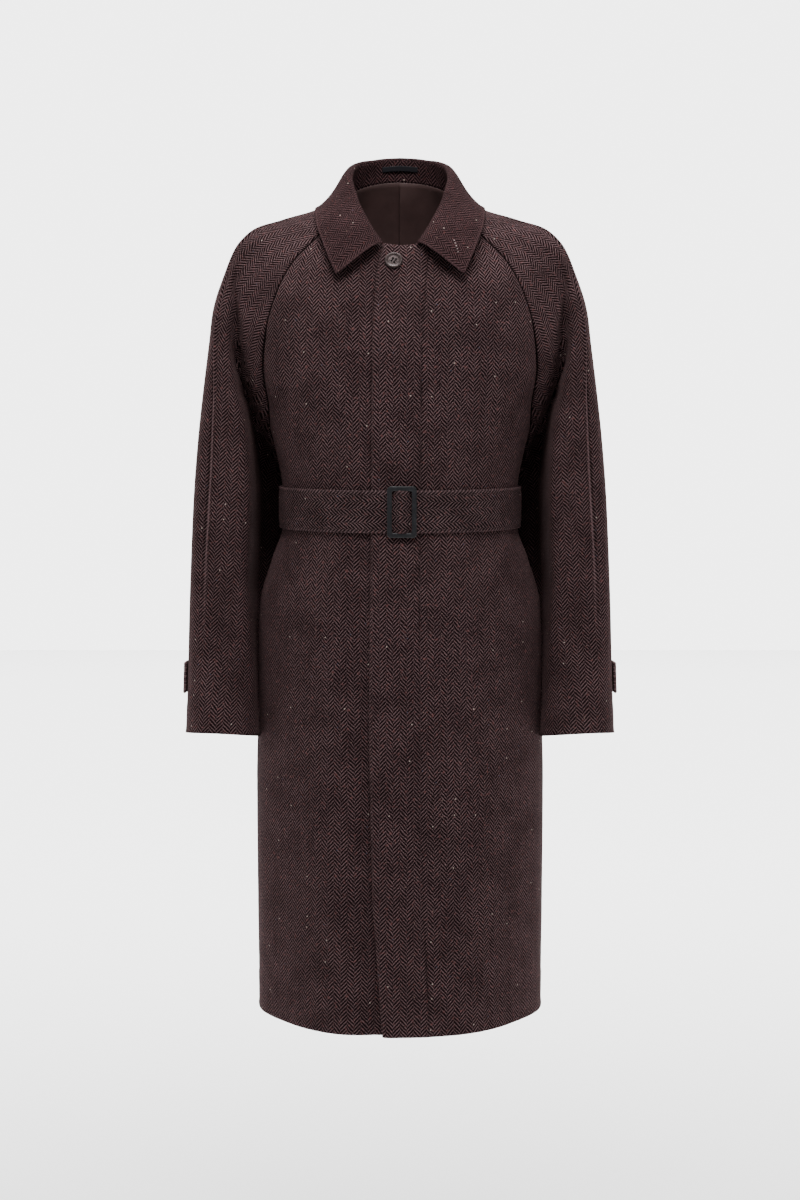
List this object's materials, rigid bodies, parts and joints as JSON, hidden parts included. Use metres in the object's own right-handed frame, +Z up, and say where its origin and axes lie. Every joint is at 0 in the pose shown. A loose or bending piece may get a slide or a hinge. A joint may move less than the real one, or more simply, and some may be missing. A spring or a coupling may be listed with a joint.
{
  "type": "topcoat",
  "caption": "Knee-length topcoat in brown herringbone tweed with raglan sleeves, turn-down collar, fly front and a belted waist, hollow as when worn.",
  "frame": {"origin": "Midway between the shoulders at the foot of the neck, where the wearer carries the coat", "axes": "X to the wearer's left, Y to the back, Z up along the body"},
  "size_m": [0.5632, 0.3499, 1.1206],
  "materials": {
    "tweed": "brown herringbone wool tweed, dull and slightly napped, with sparse light flecks",
    "collar_tweed": "the same tweed, cut on its own grain",
    "belt_tweed": "the same tweed, with its stripes along the belt",
    "lining_cloth": "smooth dark brown lining",
    "loop_cloth": "plain dark navy tape",
    "horn": "grey-brown horn, half polished",
    "buckle_black": "dark charcoal, satin"
  },
  "bodies": {
    "root": {"front_left": "tweed", "front_right": "tweed", "back": "tweed", "sleeve_front_left": "tweed", "sleeve_back_left": "tweed", "sleeve_front_right": "tweed", "sleeve_back_right": "tweed", "collar_leaf": "collar_tweed", "collar_stand": "collar_tweed", "belt": "belt_tweed", "buckle": "buckle_black", "button": "horn", "cuff_tab_left": "tweed", "cuff_tab_right": "tweed", "lining_left": "lining_cloth", "lining_right": "lining_cloth", "hanger_loop": "loop_cloth"}
  },
  "joints": []
}
